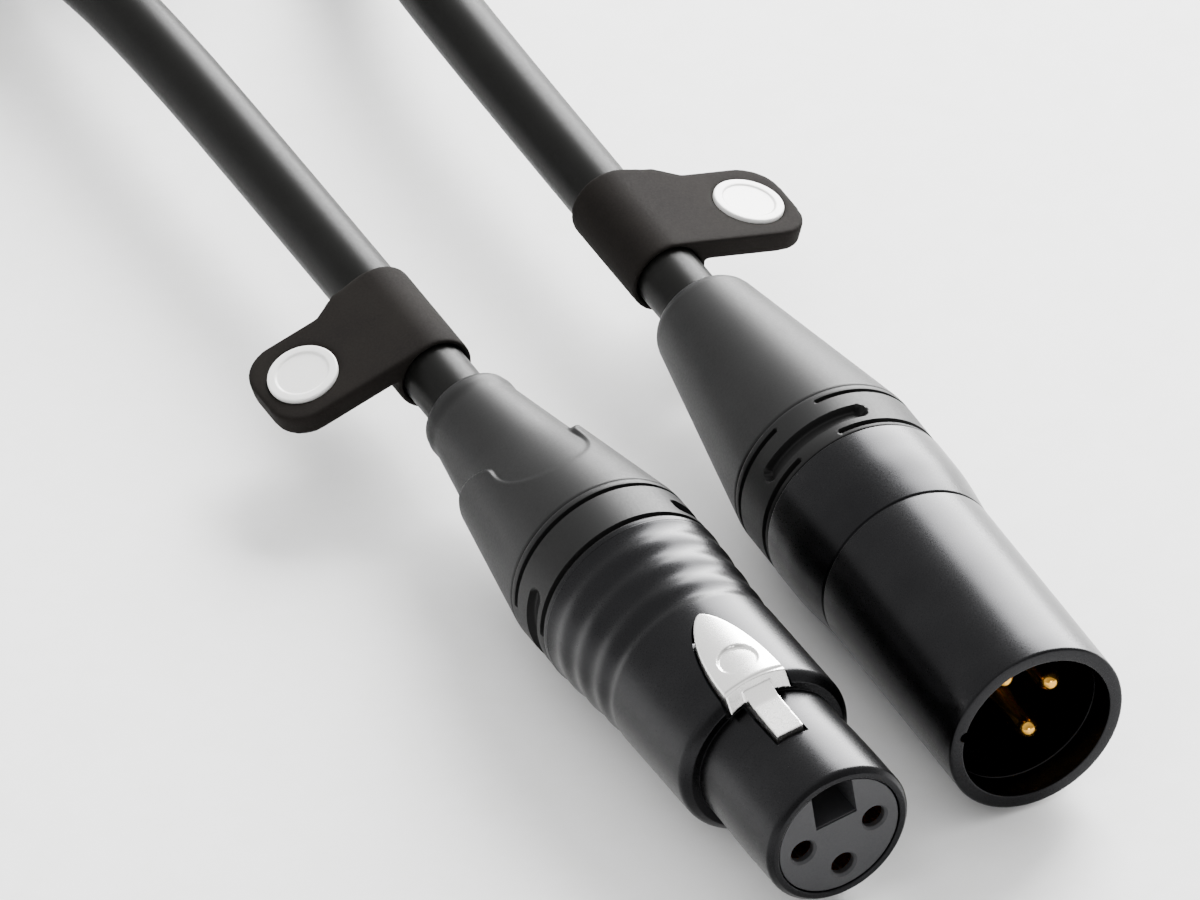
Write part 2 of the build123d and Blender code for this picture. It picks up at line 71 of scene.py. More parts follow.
SLOT_DEPTH, SLOT_SPAN, SLOT_WIDTH, SLOT_PLACE = 0.9, 74, 1.9, 2.9
GROOVE_SPAN, GROOVE_WIDTH, GROOVE_PLACES = 153, 0.55, (0.9, 6.0)
FEMALE_SLOT_ANGLE, MALE_SLOT_ANGLE = 189.0, 3.5
SCOOP_FRONT, SCOOP_HALF, SCOOP_R, SCOOP_DEPTH = 12.3, 4.9, 5.2, 0.75
LATCH_HALF, LATCH_FRONT, LATCH_REAR, LATCH_GAP = 3.35, 14.6, 25.2, 0.35
LATCH_TOP_R, LATCH_ARCH_R, LATCH_UNDER = 10.25, 8.35, 8.3
DIMPLE_R, DIMPLE_PLACE, DIMPLE_DEPTH = 2.0, 17.5, 0.34
TOOTH_HALF, TOOTH_FRONT, TOOTH_UNDER = 1.45, 7.7, 7.15
TOOTH_SLOT_HALF, TOOTH_SLOT_FRONT = 1.8, 7.35
PIVOT_STATION, PIVOT_Z, PIVOT_R, BOSS_R, BOSS_HALF = 23.4, 8.1, 0.45, 1.0, 1.1
CONTACT_CIRCLE_R, CONTACT_ANGLES = 4.0, (0, 180, 270)
CONTACT_R, SOCKET_R, PIN_R, PIN_TIP, MALE_INSERT_FACE = 1.75, 1.25, 1.2, 3.6, 14.5
PIN_END, CUP_R, CUP_DEPTH = 25.5, 0.75, 2.8
INSERT_R, INSERT_FACE, INSERT_NECK_R, INSERT_NECK, INSERT_END = 6.63, 0.15, 6.0, 24.4, 27.6
KEY_HALF, KEY_FROM, KEY_DEPTH = 2.25, 2.1, 17
TAG_BEHIND_BOOT, TAG_WIDTH = 6.6, 11.3
FEMALE_TAG_TURN, MALE_TAG_TURN = -17, 15     # degrees about the cable
BADGE_R, BADGE_PLACE, BADGE_LOW, BADGE_TOP = 3.6, 11.2, 3.6, 4.3
BADGE_RIM, BADGE_DISH = 0.85, 0.15

# ---- the cable's route, in millimetres -------------------------------------------------------
FEMALE_ROUTE = [(-13.9, 35.5, 10.05), (-13.9, 70.0, 10.05), (-14.3, 105.0, 10.0),
                (-15.2, 123.0, 7.6), (-16.9, 138.5, 4.5), (-19.9, 156.0, 4.3)]
MALE_ROUTE = [(13.4, 37.8, 10.05), (13.4, 64.0, 10.05), (13.7, 91.0, 10.0),
              (15.3, 107.0, 8.3), (18.6, 121.0, 5.3), (22.6, 134.5, 4.3),
              (25.8, 149.0, 4.3), (27.0, 163.0, 4.3)]
COIL_FRONT_Y, COIL_STRAIGHT = 166.0, 100.4
COLUMN_R = (20.4, 27.2)
LAYER_Z = (4.2, 11.0, 17.8, 24.6)
SIDE_SHARE = 0.294                           # one straight side's share of a turn's length
CLIMBS, CLIMB_HALF = (0.9, 1.9, 2.9), 0.045  # in turns: up a layer in the inner column
DROPS, DROP_HALF = (4.88, 5.88, 6.88), 0.05  # down a layer in the outer column
CROSSING = (3.75, 3.95)                      # from the inner column to the outer
HUMP_START, HUMP_LENGTH, HUMP_HEIGHT = 3.7, 0.3, 5.9
TURNS = 7.77
TIE_WIDTH, TIE_THICK = 12.0, 0.8
TIE_START, TIE_OVERLAP = 16, 20              # points of the strap's line, half a millimetre apart


# ---- building pieces -------------------------------------------------------------------------


def smooth(low, high, value):
    """0 below low, 1 above high and 3s^2 - 2s^3 between them."""
    share = np.clip((value - low) / (high - low), 0, 1)
    return share * share * (3 - 2 * share)


ARC_POINTS = 6


def outline(corners, step):
    """A closed outline through corners (radius, station, rounding), rounded by a quadratic curve
    that starts and ends that far from the corner.  There is a point at least every step, or, in
    the stretch after a corner that has a fourth value, at least every that many millimetres."""
    corners = np.array([(*corner, step)[:4] for corner in corners], float)
    points, soft, steps = corners[:, :2], corners[:, 2:3], corners[:, 3]

    def towards(others):
        gap = others - points
        return points + gap / np.linalg.norm(gap, axis=1, keepdims=True) * soft

    start, end = towards(np.roll(points, 1, 0)), towards(np.roll(points, -1, 0))
    s = np.linspace(0, 1, ARC_POINTS)[None, :, None]
    arcs = (1 - s) ** 2 * start[:, None] + 2 * s * (1 - s) * points[:, None] + s**2 * end[:, None]
    line = arcs.reshape(-1, 2)
    line = np.vstack([line, line[:1]])
    run = np.concatenate([[0], np.cumsum(np.linalg.norm(np.diff(line, axis=0), axis=1))])
    leave, reach = run[ARC_POINTS - 1::ARC_POINTS], run[ARC_POINTS::ARC_POINTS]
    between = [np.linspace(a, b, max(2, math.ceil((b - a) / gap) + 1))
               for a, b, gap in zip(leave, reach, steps)]
    where = np.unique(np.round(np.concatenate([run[:-1], *between]), 4))
    where = where[where < run[-1] - 1e-3]
    return np.stack([np.interp(where, run, line[:, axis]) for axis in (0, 1)], 1)


def grid_faces(rows, columns, close_rows, close_columns):
    """The quads of a grid of points, whose last row or column may join the first."""
    row, column = np.meshgrid(np.arange(rows if close_rows else rows - 1),
                              np.arange(columns if close_columns else columns - 1), indexing="ij")
    next_row, next_column = (row + 1) % rows, (column + 1) % columns
    corners = [row * columns + column, next_row * columns + column,
               next_row * columns + next_column, row * columns + next_column]
    return np.stack(corners, -1).reshape(-1, 4)


def solid(name, grid, close_rows, close_columns):
    """An object in millimetres from a grid of points: doubles are merged, which closes seams and
    poles, and the faces are turned outwards."""
    faces = grid_faces(*grid.shape[:2], close_rows, close_columns)
    mesh = bpy.data.meshes.new(name)
    mesh.from_pydata(grid.reshape(-1, 3).tolist(), [], faces.tolist())
    merged(mesh)
    piece = bpy.data.objects.new(name, mesh)
    bpy.context.scene.collection.objects.link(piece)
    return piece


def merged(mesh, distance=1e-4):
    """Merges a mesh's doubles and turns its faces outwards."""
    work = bmesh.new()
    work.from_mesh(mesh)
    bmesh.ops.remove_doubles(work, verts=work.verts, dist=distance)
    bmesh.ops.dissolve_degenerate(work, edges=work.edges, dist=distance)
    loose = [edge for edge in work.edges if not edge.link_faces]
    bmesh.ops.delete(work, geom=loose, context="EDGES")
    bmesh.ops.delete(work, geom=[v for v in work.verts if not v.link_faces], context="VERTS")
    bmesh.ops.recalc_face_normals(work, faces=work.faces)
    work.to_mesh(mesh)
    work.free()


def turned(name, corners, step=0.6, around=180, sink=None):
    """A solid turned about Y: each outline point (radius, station) goes round at every angle.
    sink(angle, radius, station) is how far a point moves towards the axis."""
    line = outline(corners, step)
    angle = np.linspace(0, TAU, around, endpoint=False)[:, None]
    radius, station = np.broadcast_arrays(line[:, 0], line[:, 1])
    radius = np.repeat(radius[None], around, 0)
    station = np.repeat(station[None], around, 0)
    if sink is not None:
        radius = radius - sink(angle, radius, station)
    points = np.stack([radius * np.cos(angle), station, radius * np.sin(angle)], -1)
    return solid(name, points, True, True)


def prism(name, across, low, high):
    """A block whose outline is points (x, y) and whose ends are at two heights z."""
    flat = np.array(across, float)
    ends = [np.column_stack([middle + (flat - middle) * share, np.full(len(flat), z)])
            for z, share in ((low, 0), (low, 1), (high, 1), (high, 0))
            for middle in [flat.mean(0)]]
    return solid(name, np.array(ends), False, True)


def bar(name, x, y, z):
    """A box from three (low, high) pairs."""
    return prism(name, [(x[0], y[0]), (x[1], y[0]), (x[1], y[1]), (x[0], y[1])], *z)


def changed(piece, kind, **settings):
    """Applies one modifier to a piece and returns it."""
    modifier = piece.modifiers.new(kind, kind)
    for key, value in settings.items():
        setattr(modifier, key, value)
    graph = bpy.context.evaluated_depsgraph_get()
    graph.update()
    made = bpy.data.meshes.new_from_object(piece.evaluated_get(graph))
    piece.modifiers.clear()
    piece.data = made
    return piece


def cut(piece, *tools):
    """Takes the tools out of a piece and removes them."""
    for tool in tools:
        changed(piece, "BOOLEAN", object=tool, operation="DIFFERENCE", solver="EXACT")
        bpy.data.objects.remove(tool)
    return piece


def joined(name, *pieces):
    """One object from several, which may overlap."""
    work = bmesh.new()
    for piece in pieces:
        work.from_mesh(piece.data)
        bpy.data.objects.remove(piece)
    mesh = bpy.data.meshes.new(name)
    work.to_mesh(mesh)
    work.free()
    whole = bpy.data.objects.new(name, mesh)
    bpy.context.scene.collection.objects.link(whole)
    return whole


def placed(piece, matrix, body, material, slot, *nodes, sharp=40):
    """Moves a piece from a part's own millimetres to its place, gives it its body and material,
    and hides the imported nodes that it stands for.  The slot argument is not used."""
    piece.data.transform(matrix @ Matrix.Scale(MM, 4))
    piece.data.shade_smooth()
    piece.data.set_sharp_from_angle(angle=math.radians(sharp))
    piece.data.materials.clear()
    piece.data.materials.append(material)
    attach(piece, body)
    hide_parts(*nodes)
    return piece


def moved(piece, matrix):
    """A piece moved within a part's own frame."""
    piece.data.transform(matrix)
    return piece


def on_circle(angle, radius):
    """The move from a connector's axis to a place on a circle about it."""
    turn = math.radians(angle)
    return Matrix.Translation((radius * math.cos(turn), 0, radius * math.sin(turn)))


# ---- where the connectors and tags are -------------------------------------------------------


def part_frame(origin, back, across):
    """The matrix of a part's frame: Y is back, X is across, and its place is in metres."""
    y = Vector(back).normalized()
    z = Vector(across).cross(y).normalized()
    matrix = Matrix((y.cross(z), y, z)).transposed().to_4x4()
    matrix.translation = origin
    return matrix


mounts = {mount["name"]: mount for mount in frame["record"]["mounts"]}
joints = {joint["name"]: joint for joint in frame["joints"]}
NOSE_MOUNT_STATION, PIN_MOUNT_STATION = 3.4 * MM, 9.5 * MM

nose_axis = -Vector(mounts["female_nose"]["axis"])
FEMALE = part_frame(Vector(mounts["female_nose"]["pos_m"]) - nose_axis * NOSE_MOUNT_STATION,
                    nose_axis, joints["latch_press"]["axis"])
pin_axis = -Vector(mounts["male_pin_1_contact"]["axis"])
pin_1 = Vector(mounts["male_pin_1_contact"]["pos_m"])
pin_2 = Vector(mounts["male_pin_2_contact"]["pos_m"])
MALE = part_frame((pin_1 + pin_2) / 2 - pin_axis * PIN_MOUNT_STATION, pin_axis, pin_1 - pin_2)
FEMALE_TAG, MALE_TAG = (
    Matrix.Translation(Vector(route[0]) * MM) @ Matrix.Rotation(math.radians(turn), 4, "Y")
    for route, turn in ((FEMALE_ROUTE, FEMALE_TAG_TURN), (MALE_ROUTE, MALE_TAG_TURN)))


# ---- materials -------------------------------------------------------------------------------


def linear(code):
    """An sRGB hex colour as linear RGBA."""
    channels = np.array([int(code[i:i + 2], 16) for i in (1, 3, 5)]) / 255
    low, high = channels / 12.92, ((channels + 0.055) / 1.055) ** 2.4
    return (*np.where(channels <= 0.04045, low, high).tolist(), 1.0)


def add(tree, kind, inputs=None, **settings):
    """Adds a node with its settings; each input is a value or the output that feeds it."""
    node = tree.nodes.new(kind)
    for key, value in settings.items():
        setattr(node, key, value)
    for key, value in (inputs or {}).items():
        if isinstance(value, bpy.types.NodeSocket):
            tree.links.new(value, node.inputs[key])
        else:
            node.inputs[key].default_value = value
    return node


def per_mm(size):
    """The noise scale whose cells are that many millimetres across."""
    return 1 / (size * MM)


def empty_material(name):
    """A material without nodes, its node tree, and the place on the piece as an output."""
    material = bpy.data.materials.new(name)
    material.use_nodes = True
    tree = material.node_tree
    tree.nodes.clear()
    return material, tree, add(tree, "ShaderNodeTexCoord").outputs["Object"]


def surfaced(tree, share, colours, height, relief, **values):
    """Ends a material: its colour runs between two as share does, and height raises it by relief
    mm."""
    low, high = (linear(colour) for colour in colours)
    mixed = add(tree, "ShaderNodeMix", {"Factor": share, 6: low, 7: high},
                data_type="RGBA").outputs[2]
    bump = add(tree, "ShaderNodeBump", {"Height": height, "Strength": 1.0,
                                        "Distance": relief * MM}).outputs["Normal"]
    shader = add(tree, "ShaderNodeBsdfPrincipled", {"Base Color": mixed, "Normal": bump, **values})
    add(tree, "ShaderNodeOutputMaterial", {"Surface": shader.outputs["BSDF"]})


def grained(name, colour, shade, roughness, swing, grain, relief, patch=6.0, stretch=(1, 1, 1),
            metallic=0.0, **uniform):
    """A surface with fine grain: noise with cells of grain mm raises it by relief mm and shifts
    its roughness, and slow patches of noise shift its colour between colour and shade."""
    material, tree, place = empty_material(name)
    along = add(tree, "ShaderNodeMapping", {"Vector": place, "Scale": stretch}).outputs["Vector"]
    fine = add(tree, "ShaderNodeTexNoise", {"Vector": along, "Scale": per_mm(grain), "Detail": 3.0,
                                            "Roughness": 0.6}).outputs["Fac"]
    slow = add(tree, "ShaderNodeTexNoise", {"Vector": place, "Scale": per_mm(patch),
                                            "Detail": 2.0}).outputs["Fac"]
    both = add(tree, "ShaderNodeMath", {0: fine, 1: slow}, operation="MULTIPLY").outputs[0]
    tint = add(tree, "ShaderNodeMapRange", {"Value": both, "From Min": 0.12,
                                            "From Max": 0.42}).outputs["Result"]
    rough = add(tree, "ShaderNodeMapRange", {"Value": fine, "From Min": 0.3, "From Max": 0.7,
                                             "To Min": roughness - swing,
                                             "To Max": roughness + swing}).outputs["Result"]
    surfaced(tree, tint, (colour, shade), fine, relief,
             **{"Roughness": rough, "Metallic": metallic, **uniform})
    return material


def woven(name, colour, shade, thread):
    """Nylon hook-and-loop strap: two crossed waves give its threads, thread mm apart, and noise
    breaks them up into loops of pile.  The low places between the threads get the darker
    colour shade: painted shade in the weave's hollows."""
    material, tree, place = empty_material(name)
    waves = [add(tree, "ShaderNodeTexWave", {"Vector": place, "Scale": per_mm(thread) / 20,
                                             "Distortion": 0.6, "Detail": 1.0},
                 bands_direction=direction).outputs["Fac"] for direction in "YZ"]
    cross = add(tree, "ShaderNodeMath", {0: waves[0], 1: waves[1]}, operation="MULTIPLY").outputs[0]
    pile = add(tree, "ShaderNodeTexNoise", {"Vector": place, "Scale": per_mm(0.35),
                                            "Detail": 4.0}).outputs["Fac"]
    height = add(tree, "ShaderNodeMath", {0: cross, 1: pile}, operation="ADD").outputs[0]
    share = add(tree, "ShaderNodeMapRange", {"Value": height, "From Min": 0.4,
                                             "From Max": 1.3}).outputs["Result"]
    # painted shade: the lower the weave, the nearer its colour is to shade
    surfaced(tree, share, (shade, colour), height, 0.12,
             **{"Roughness": 0.85, "Sheen Weight": 0.05, "Sheen Roughness": 0.5})
    return material


# Zinc die castings, satin blasted and black chromed: a dark metal that still mirrors broad light,
# with the fine tooth of the blasting.  The tooth is drawn about twice as coarse as it is.
black_chrome = grained("black_chromed_zinc", "#1d1d1e", "#232324", 0.3, 0.05, 0.14, 0.0012,
                       metallic=1.0)
# The same plating in satin nickel: nearly white, soft mirror.
satin_nickel = grained("satin_nickel", "#e9e8e6", "#dcdbd9", 0.3, 0.05, 0.16, 0.0008, metallic=1.0)
# Glass-filled nylon, moulded in a lightly sparked tool: an even dark grey with a dull shine.
moulded_nylon = grained("moulded_black_nylon", "#2d2d2f", "#28282a", 0.5, 0.06, 0.2, 0.004,
                        **{"Specular IOR Level": 0.3})
# Thermoplastic rubber moulded in a fine-etched tool: dark grey, silky, with a broad soft shine.
boot_rubber = grained("moulded_boot_rubber", "#191919", "#151515", 0.46, 0.05, 0.24, 0.004,
                      **{"Specular IOR Level": 0.13})
# Softer matt rubber of the name tags, a little brown and dustier.
tag_rubber = grained("moulded_tag_rubber", "#1c1a18", "#171514", 0.75, 0.05, 0.22, 0.005,
                     **{"Specular IOR Level": 0.03})
# Flexible PVC, extruded: smooth along its length with a satin shine.
cable_jacket = grained("extruded_pvc_jacket", "#121211", "#0e0e0d", 0.4, 0.05, 0.3, 0.003,
                       **{"Specular IOR Level": 0.07})
# Gold flash over nickel on turned brass.
gold_plate = grained("gold_plated_brass", "#d9a441", "#c8923a", 0.2, 0.05, 0.2, 0.0008,
                     metallic=1.0)
# Bright spring steel, rolled.
spring_steel = grained("rolled_spring_steel", "#b9babc", "#a5a6a8", 0.26, 0.06, 0.18, 0.001,
                       metallic=1.0)
# Acetal, the usual white of a clamping collet: waxy and a little translucent-looking.
acetal = grained("moulded_acetal", "#dedcd3", "#d2d0c6", 0.4, 0.05, 0.25, 0.003)
# Insulation of the two cores, thin extruded PVC.
core_red = grained("red_core_insulation", "#a3211c", "#8f1c18", 0.4, 0.05, 0.2, 0.002)
core_white = grained("white_core_insulation", "#e4e2db", "#d6d4cc", 0.4, 0.05, 0.2, 0.002)
# The screen's strands twisted to a tail: tinned copper, grooved along the strands.
tinned_copper = grained("tinned_copper_strands", "#b7b4ae", "#8f8b84", 0.35, 0.08, 0.25, 0.03,
                        stretch=(1, 0.15, 1), metallic=1.0)
# Glossy white ABS of the round badges.
badge_plastic = grained("moulded_white_abs", "#f4f4f2", "#ecebe8", 0.3, 0.04, 0.3, 0.002)
# Threads are drawn about as coarse as on a real strap; the darker colour is painted shade between them.
strap_nylon = woven("woven_nylon_strap", "#0f0f10", "#070707", 0.6)

BY_SLOT = {"shell": black_chrome, "insert": moulded_nylon, "contact": gold_plate,
           "latch": satin_nickel, "spring": spring_steel, "collet": acetal, "boot": boot_rubber,
           "jacket": cable_jacket, "core_red": core_red, "core_white": core_white,
           "braid": tinned_copper, "tag": tag_rubber, "badge": badge_plastic, "tie": strap_nylon}

for part in frame["record"]["subparts"]:
    mesh = frame["nodes"][part["node"]].data
    mesh.materials.clear()
    mesh.materials.append(BY_SLOT[part["material_slot"]])


# ---- the cable -------------------------------------------------------------------------------


def winding(last_turn):
    """The coil's turns as control points.  A turn is two straight sides joined by half circles;
    on the half circles the points stand out by 1/cos(half a step), so that the curve is round.
    It climbs the inner column a layer a turn, crosses the top and comes down the outer column."""
    side, arc = 4, 9
    along = (np.arange(side) + 0.5) / side
    share = (np.arange(arc) + 0.5) / arc
    places = np.concatenate([along * SIDE_SHARE, SIDE_SHARE + share * (0.5 - SIDE_SHARE)])
    places = np.concatenate([places, places + 0.5])
    turn = (np.arange(math.ceil(last_turn))[:, None] + places).ravel()
    turn = turn[turn < last_turn]
    place = turn % 1
    half = place % 0.5
    on_arc = half > SIDE_SHARE
    swing = np.where(on_arc, (half - SIDE_SHARE) / (0.5 - SIDE_SHARE) * math.pi, 0)
    going = np.where(on_arc, 1, half / SIDE_SHARE)
    layer = sum(smooth(at - CLIMB_HALF, at + CLIMB_HALF, turn) for at in CLIMBS)
    layer = layer - sum(smooth(at - DROP_HALF, at + DROP_HALF, turn) for at in DROPS)
    outer = smooth(*CROSSING, turn)
    over = np.clip((turn - HUMP_START) / HUMP_LENGTH, 0, 1)
    hump = HUMP_HEIGHT * np.sin(math.pi * over) ** 0.8
    radius = COLUMN_R[0] + (COLUMN_R[1] - COLUMN_R[0]) * outer
    reach = np.where(on_arc, radius / math.cos(math.pi / arc / 2), radius)
    x = -reach * np.cos(swing)
    y = going * COIL_STRAIGHT + reach * np.sin(swing)
    back = place >= 0.5
    x = np.where(back, -x, x)
    y = np.where(back, COIL_STRAIGHT - y, y) + COIL_FRONT_Y
    z = LAYER_Z[0] + (LAYER_Z[1] - LAYER_Z[0]) * layer + hump
    return np.column_stack([x, y, z])


def cable():
    """The whole cable on one smooth curve, from the female boot round the coil to the male boot."""
    points = np.vstack([FEMALE_ROUTE, winding(TURNS), MALE_ROUTE[::-1]]) * MM
    curve = bpy.data.curves.new("cable", "CURVE")
    curve.dimensions = "3D"
    spline = curve.splines.new("NURBS")
    spline.points.add(len(points) - 1)
    spline.points.foreach_set("co", np.column_stack([points, np.ones(len(points))]).ravel())
    spline.order_u = 3
    spline.use_endpoint_u = True
    spline.resolution_u = 5
    curve.bevel_depth = CABLE_R * MM
    curve.bevel_resolution = 8
    curve.use_fill_caps = True
    curve.materials.append(cable_jacket)
    piece = bpy.data.objects.new("cable", curve)
    bpy.context.scene.collection.objects.link(piece)
    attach(piece, "cable")
    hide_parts("female_lead", "male_lead", "coil")
    return piece


cable_piece = cable()

# ---- camera, light and floor -----------------------------------------------------------------
CAMERA_AT = Vector((-5.17, 24.37, 10.05)) * MM
CAMERA_TURN, CAMERA_HEIGHT = math.radians(-28.2), math.radians(40.0)
PICTURE_WIDTH = 117.65 * MM
LENS, SENSOR = 1000.0, 36.0
FLOOR_HALF, FLOOR_THICK = 3000.0, 5.0


def outward(turn, height):
    """The direction from the object towards a viewer that far round and up."""
    flat = math.cos(height)
    return Vector((math.sin(turn) * flat, -math.cos(turn) * flat, math.sin(height)))


def camera():
    """The view from in front, to the left and above, through a lens long enough to be flat."""
    lens = bpy.data.cameras.new("camera")
    lens.lens, lens.sensor_width = LENS, SENSOR
    lens.clip_start, lens.clip_end = 0.1, 20
    eye = bpy.data.objects.new("camera", lens)
    towards = outward(CAMERA_TURN, CAMERA_HEIGHT)
    eye.location = CAMERA_AT + towards * PICTURE_WIDTH * LENS / SENSOR
    eye.rotation_euler = towards.to_track_quat("Z", "Y").to_euler()
    bpy.context.scene.collection.objects.link(eye)
    bpy.context.scene.camera = eye


def soft_light(name, turn, height, distance, size, power):
    """A soft panel that far round and up, in degrees, that looks at the connectors."""
    data = bpy.data.lights.new(name, "AREA")
    data.shape, data.size, data.size_y = "RECTANGLE", size[0], size[1]
    data.energy = power
    lamp = bpy.data.objects.new(name, data)
    towards = outward(math.radians(turn), math.radians(height))
    lamp.location = CAMERA_AT + towards * distance
    lamp.rotation_euler = towards.to_track_quat("Z", "Y").to_euler()
    bpy.context.scene.collection.objects.link(lamp)


def floor():
    """A pale board, far wider than the object."""
    board = bar("floor", (-FLOOR_HALF, FLOOR_HALF), (-FLOOR_HALF, FLOOR_HALF), (-FLOOR_THICK, 0.0))
    board.data.transform(Matrix.Scale(MM, 4))
    board.data.materials.append(
        grained("painted_board", "#ffffff", "#fbfbfa", 0.9, 0.02, 3.0, 0.01))


def surroundings():
    """A white studio that is dimmer towards the front."""
    world = bpy.data.worlds.new("studio")
    world.use_nodes = True
    tree = world.node_tree
    tree.nodes.clear()
    way = add(tree, "ShaderNodeTexCoord").outputs["Generated"]
    depth = add(tree, "ShaderNodeSeparateXYZ", {"Vector": way}).outputs["Y"]
    strength = add(tree, "ShaderNodeMapRange", {"Value": depth, "From Min": -1.0, "From Max": -0.1,
                                                "To Min": 0.45, "To Max": 1.7},
                   interpolation_type="SMOOTHSTEP").outputs["Result"]
    light = add(tree, "ShaderNodeBackground", {"Color": (1, 1, 1, 1), "Strength": strength})
    add(tree, "ShaderNodeOutputWorld", {"Surface": light.outputs["Background"]})
    bpy.context.scene.world = world


camera()
floor()
surroundings()
soft_light("back_right", 133, 24, 0.75, (0.45, 0.6), 34)
soft_light("ahead", 0, 8, 0.5, (0.1, 0.1), 0.5)


# ---- shells ----------------------------------------------------------------------------------


def leaf(station, grow=0.0):
    """Half the thumb pad's width at a station: half * (1 - u^1.92)^0.6, blunt in front and drawn
    to a round tip behind."""
    front, rear = LATCH_FRONT - grow, LATCH_REAR + grow
    u = np.clip((station - front) / (rear - front), 0, 1)
    return (LATCH_HALF + grow) * (1 - u**1.92) ** 0.6


def leaf_outline(grow):
    """The pad's outline from above, as points (x, station)."""
    front, rear = LATCH_FRONT - grow, LATCH_REAR + grow
    station = front + (rear - front) * np.sin(np.linspace(0, math.pi / 2, 40))
    half = leaf(station, grow)
    return np.vstack([np.column_stack([half, station]), np.column_stack([-half, station])[-2::-1]])


def ribs(angle, radius, station):
    """Four shallow scallops round the rear of the female shell, 3.3 mm apart."""
    wave = 0.5 + 0.5 * np.cos(TAU * (station - RIB_FROM) / RIB_PITCH)
    there = smooth(RIB_FROM - 1.5, RIB_FROM, station) * (radius > FEMALE_SHELL_R - 0.4)
    return RIB_DEPTH * wave * there * smooth(FEMALE_JOINT, FEMALE_JOINT - 0.4, station)


def female_shell():
    """The nose, the wider grip with its ribs, and the spigot that the boot's nut goes over."""
    spigot_end = FEMALE_JOINT + SPIGOT_LENGTH
    body = turned("female_shell_body", [
        (FRONT_BORE_R, 0, 0.2), (NOSE_R - 0.5, 0, 0.1), (NOSE_R, 0.5, 0.25), (NOSE_R, 7.0, 3.0),
        (NOSE_RELIEF_R, 11.5, 2.0), (NOSE_RELIEF_R, NOSE_LENGTH, 0.05), (8.5, NOSE_LENGTH, 0.1),
        (FEMALE_SHELL_R, NOSE_LENGTH + 0.75, 0.5, 1), (FEMALE_SHELL_R, 27.0, 0.4, 0.2),
        (FEMALE_SHELL_R, RIB_FROM, 1.0, 0.2), (SHELL_TAIL_R, FEMALE_JOINT - 0.6, 1.0),
        (SHELL_TAIL_R, FEMALE_JOINT, 0.12), (SPIGOT_R, FEMALE_JOINT, 0.1),
        (SPIGOT_R, spigot_end, 0.3),
        (REAR_BORE_R, spigot_end, 0.2), (REAR_BORE_R, FRONT_BORE_END, 0.1),
        (FRONT_BORE_R, FRONT_BORE_END, 0.05)], step=3, around=256, sink=ribs)
    wide = LATCH_HALF + LATCH_GAP
    notch = bar("notch", (-wide, wide), (NOSE_LENGTH, LATCH_FRONT + 0.3), (7.0, 20))
    inside = NOSE_RELIEF_R + 0.005
    keep = turned("nose_below", [(0, 13.5, 0), (inside, 13.5, 0), (inside, 15.5, 0), (0, 15.5, 0)])
    return cut(body, prism("window", leaf_outline(LATCH_GAP), 3, 20),
               bar("slot", (-TOOTH_SLOT_HALF, TOOTH_SLOT_HALF), (TOOTH_SLOT_FRONT, 15.0),
                   (0.5, 20)),
               cut(notch, keep))


placed(female_shell(), FEMALE, "cable", black_chrome, "shell", "female_shell")


def male_shell():
    """A plain tube with a seam, a flare behind it, a lock recess and a small index notch."""
    spigot_end, seam_r = MALE_JOINT + SPIGOT_LENGTH, MALE_SHELL_R - SEAM_DEPTH
    body = turned("male_shell_body", [
        (MOUTH_R, 0, 0.15), (MALE_SHELL_R, 0, 0.35), (MALE_SHELL_R, SEAM_STATION - 0.2, 0.05),
        (seam_r, SEAM_STATION - 0.08, 0.04), (seam_r, SEAM_STATION + 0.08, 0.04),
        (MALE_SHELL_R, SEAM_STATION + 0.2, 0.1), (SHELL_TAIL_R, FLARE_END, 1.6),
        (SHELL_TAIL_R, MALE_JOINT, 0.15), (SPIGOT_R, MALE_JOINT, 0.1), (SPIGOT_R, spigot_end, 0.3),
        (REAR_BORE_R, spigot_end, 0.2), (REAR_BORE_R, MALE_BORE_END, 0.1),
        (MALE_BORE_R, MALE_BORE_END, 0.1), (MALE_BORE_R, 3.2, 0.05), (MOUTH_R, 3.1, 0.05)],
        step=3, around=256)
    lock = bar("lock", (-LOCK_HALF, LOCK_HALF), (LOCK_FROM, LOCK_TO), (0, LOCK_R))
    index = turned("index", [
        (0, -1, 0), (INDEX_NOTCH_R, -1, 0), (INDEX_NOTCH_R, INDEX_NOTCH_DEPTH, 0),
        (0, INDEX_NOTCH_DEPTH, 0)], around=32)
    moved(index, on_circle(INDEX_NOTCH_ANGLE, MOUTH_R))
    return cut(body, lock, index)


placed(male_shell(), MALE, "cable", black_chrome, "shell", "male_shell")


# ---- boots -----------------------------------------------------------------------------------


def slots(joint, middle_angle):
    """How deep the band's slots are at (angle, radius, station): each is a stadium, the points
    within half a width of a line round the band, with softened edges."""

    def depth(angle, radius, station):
        sunk = 0.0
        for side in (0, 180):
            rows = [(0, SLOT_SPAN, SLOT_WIDTH, SLOT_PLACE),
                    *((90, GROOVE_SPAN, GROOVE_WIDTH, place) for place in GROOVE_PLACES)]
            for turn, span, width, place in rows:
                away = angle - math.radians(middle_angle + side + turn)
                away = np.abs((away + math.pi) % TAU - math.pi) * BOOT_R
                reach = math.radians(span / 2) * BOOT_R - width / 2
                distance = np.hypot(
                    np.maximum(away - reach, 0), station - joint - place) - width / 2
                sunk = np.maximum(sunk, SLOT_DEPTH * smooth(0.03, -0.1, distance))
        return sunk * (radius > NUT_R + 0.1)

    return depth


